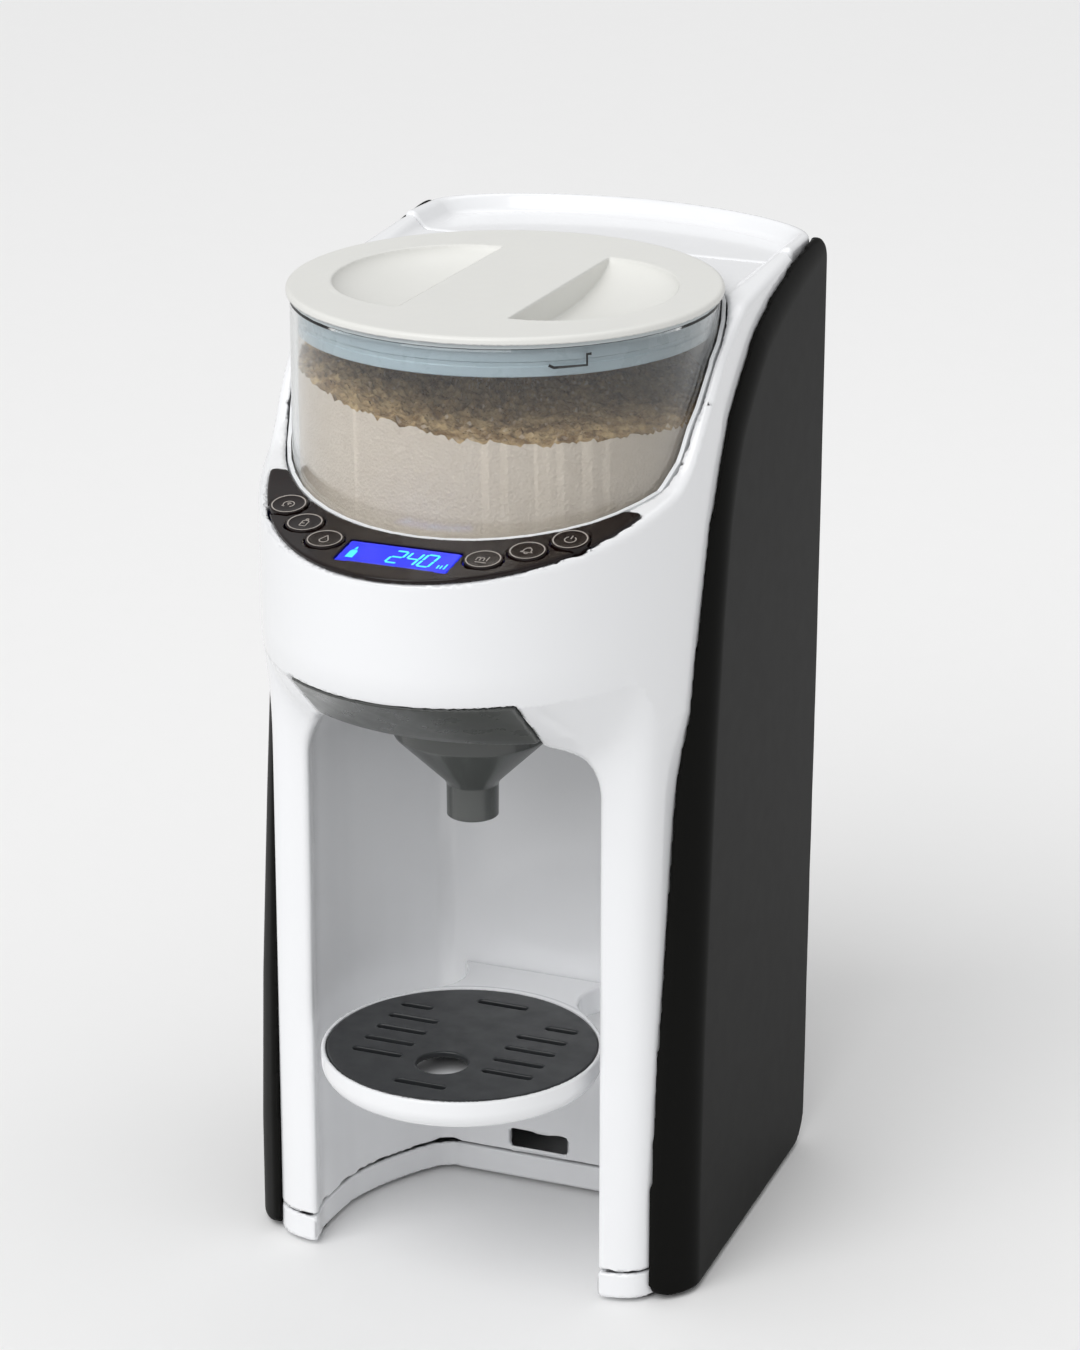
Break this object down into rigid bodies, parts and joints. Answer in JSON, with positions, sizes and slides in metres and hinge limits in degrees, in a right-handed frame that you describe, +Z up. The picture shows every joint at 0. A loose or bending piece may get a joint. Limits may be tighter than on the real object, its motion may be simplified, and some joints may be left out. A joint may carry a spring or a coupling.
{
  "type": "formula dispenser",
  "caption": "Countertop dispenser with a clear powder hopper under a twist lid, a button panel, a funnel over a bottle bay with a drip tray, and a water tank behind.",
  "frame": {"origin": "centre of the outer box on the surface the feet stand on", "axes": "+Z up, -Y out of the front with the bottle bay, +X towards the right hand of a person who stands in front"},
  "size_m": [0.192, 0.276, 0.4016],
  "materials": {
    "white_gloss_abs": "gloss",
    "lid_satin_pp": "satin",
    "black_satin_abs": "satin",
    "panel_gloss_brown": "gloss",
    "display_blue": "backlit",
    "circuit_board": "solder mask",
    "foot_rubber": "matte",
    "screw_steel": "plated",
    "grey_nylon": "moulded",
    "acetal_natural": "moulded",
    "pinion_brass": "machined",
    "clear_copolyester": "clear gloss",
    "skirt_silver": "silver grey satin",
    "silicone_seal": "matte",
    "smoked_tank": "smoked gloss",
    "smoked_funnel": "smoked gloss",
    "grille_charcoal": "fine texture"
  },
  "bodies": {
    "body": {"front_shell": "white_gloss_abs", "base_tray": "white_gloss_abs", "side_panel_left": "black_satin_abs", "side_panel_right": "black_satin_abs", "rear_chassis": "black_satin_abs", "hopper_seat": "white_gloss_abs", "control_panel": "panel_gloss_brown", "display_module": "display_blue", "control_board": "circuit_board", "foot_front_left": "foot_rubber", "foot_front_right": "foot_rubber", "foot_rear_left": "foot_rubber", "foot_rear_right": "foot_rubber", "base_screw_1": "screw_steel", "base_screw_2": "screw_steel", "base_screw_3": "screw_steel", "base_screw_4": "screw_steel", "drive_motor": "screw_steel", "powder_chute": "grey_nylon", "tank_socket": "grey_nylon", "water_pump": "grey_nylon", "heater_tank": "screw_steel", "water_nozzle": "acetal_natural", "pump_hose": "silicone_seal", "outlet_hose": "silicone_seal", "power_supply": "circuit_board", "mains_inlet": "black_satin_abs"},
    "drive_gear": {"drive_gear": "acetal_natural"},
    "motor_pinion": {"motor_pinion": "pinion_brass"},
    "hopper": {"hopper_wall": "clear_copolyester", "hopper_floor": "grey_nylon", "dosing_scraper": "grey_nylon"},
    "dosing": {"dosing_wheel": "acetal_natural", "stirrer": "acetal_natural"},
    "lid_ring": {"lid_seal": "silicone_seal"},
    "lid": {"hopper_lid": "lid_satin_pp", "lid_skirt": "skirt_silver"},
    "tank": {"water_tank": "smoked_tank", "tank_valve": "grey_nylon"},
    "tank_lid": {"tank_lid": "white_gloss_abs"},
    "funnel": {"funnel": "smoked_funnel", "funnel_cover": "smoked_funnel"},
    "tray": {"drip_tray": "white_gloss_abs"},
    "grille": {"drip_grille": "grille_charcoal"},
    "button_prime": {"button_prime": "panel_gloss_brown"},
    "button_menu": {"button_menu": "panel_gloss_brown"},
    "button_volume": {"button_volume": "panel_gloss_brown"},
    "button_unit": {"button_unit": "panel_gloss_brown"},
    "button_alarm": {"button_alarm": "panel_gloss_brown"},
    "button_power": {"button_power": "panel_gloss_brown"}
  },
  "joints": [
    {"name": "pinion_spin", "type": "hinge", "parent": "body", "child": "motor_pinion", "pos_m": [0, 0.0095, 0.274], "axis": [0, 0, 1], "continuous": true},
    {"name": "gear_spin", "type": "hinge", "parent": "body", "child": "drive_gear", "pos_m": [0, -0.016, 0.274], "axis": [0, 0, 1], "continuous": true},
    {"name": "hopper_lift", "type": "slide", "parent": "body", "child": "hopper", "axis": [0, 0, 1], "range_m": [0, 0.14]},
    {"name": "dosing_spin", "type": "hinge", "parent": "hopper", "child": "dosing", "pos_m": [0, -0.016, 0.295], "axis": [0, 0, 1], "continuous": true},
    {"name": "lid_lift", "type": "slide", "parent": "hopper", "child": "lid_ring", "axis": [0, 0, 1], "range_m": [0, 0.06]},
    {"name": "lid_twist", "type": "hinge", "parent": "lid_ring", "child": "lid", "pos_m": [0, -0.016, 0.4], "axis": [0, 0, 1], "range_deg": [0, 20]},
    {"name": "tank_lift", "type": "slide", "parent": "body", "child": "tank", "axis": [0, 0, 1], "range_m": [0, 0.375]},
    {"name": "tank_lid_hinge", "type": "hinge", "parent": "tank", "child": "tank_lid", "pos_m": [0, 0.0765, 0.4014], "axis": [1, 0, 0], "range_deg": [0, 85]},
    {"name": "funnel_slide", "type": "slide", "parent": "body", "child": "funnel", "axis": [0, -1, 0], "range_m": [0, 0.09]},
    {"name": "tray_slide", "type": "slide", "parent": "body", "child": "tray", "axis": [0, -1, 0], "range_m": [0, 0.12]},
    {"name": "grille_lift", "type": "slide", "parent": "tray", "child": "grille", "axis": [0, 0, 1], "range_m": [0, 0.03]},
    {"name": "button_prime_press", "type": "slide", "parent": "body", "child": "button_prime", "axis": [0, 0.2149, -0.9766], "range_m": [0, 0.0006], "stiffness_N_per_m": 900},
    {"name": "button_menu_press", "type": "slide", "parent": "body", "child": "button_menu", "axis": [0, 0.1644, -0.9864], "range_m": [0, 0.0006], "stiffness_N_per_m": 900},
    {"name": "button_volume_press", "type": "slide", "parent": "body", "child": "button_volume", "axis": [0, 0.1644, -0.9864], "range_m": [0, 0.0006], "stiffness_N_per_m": 900},
    {"name": "button_unit_press", "type": "slide", "parent": "body", "child": "button_unit", "axis": [0, 0.1644, -0.9864], "range_m": [0, 0.0006], "stiffness_N_per_m": 900},
    {"name": "button_alarm_press", "type": "slide", "parent": "body", "child": "button_alarm", "axis": [0, 0.1644, -0.9864], "range_m": [0, 0.0006], "stiffness_N_per_m": 900},
    {"name": "button_power_press", "type": "slide", "parent": "body", "child": "button_power", "axis": [0, 0.2149, -0.9766], "range_m": [0, 0.0006], "stiffness_N_per_m": 900}
  ],
  "couplings": [
    {"joint": "gear_spin", "follows": "dosing_spin", "ratio": 1},
    {"joint": "pinion_spin", "follows": "dosing_spin", "ratio": -1.8333}
  ]
}
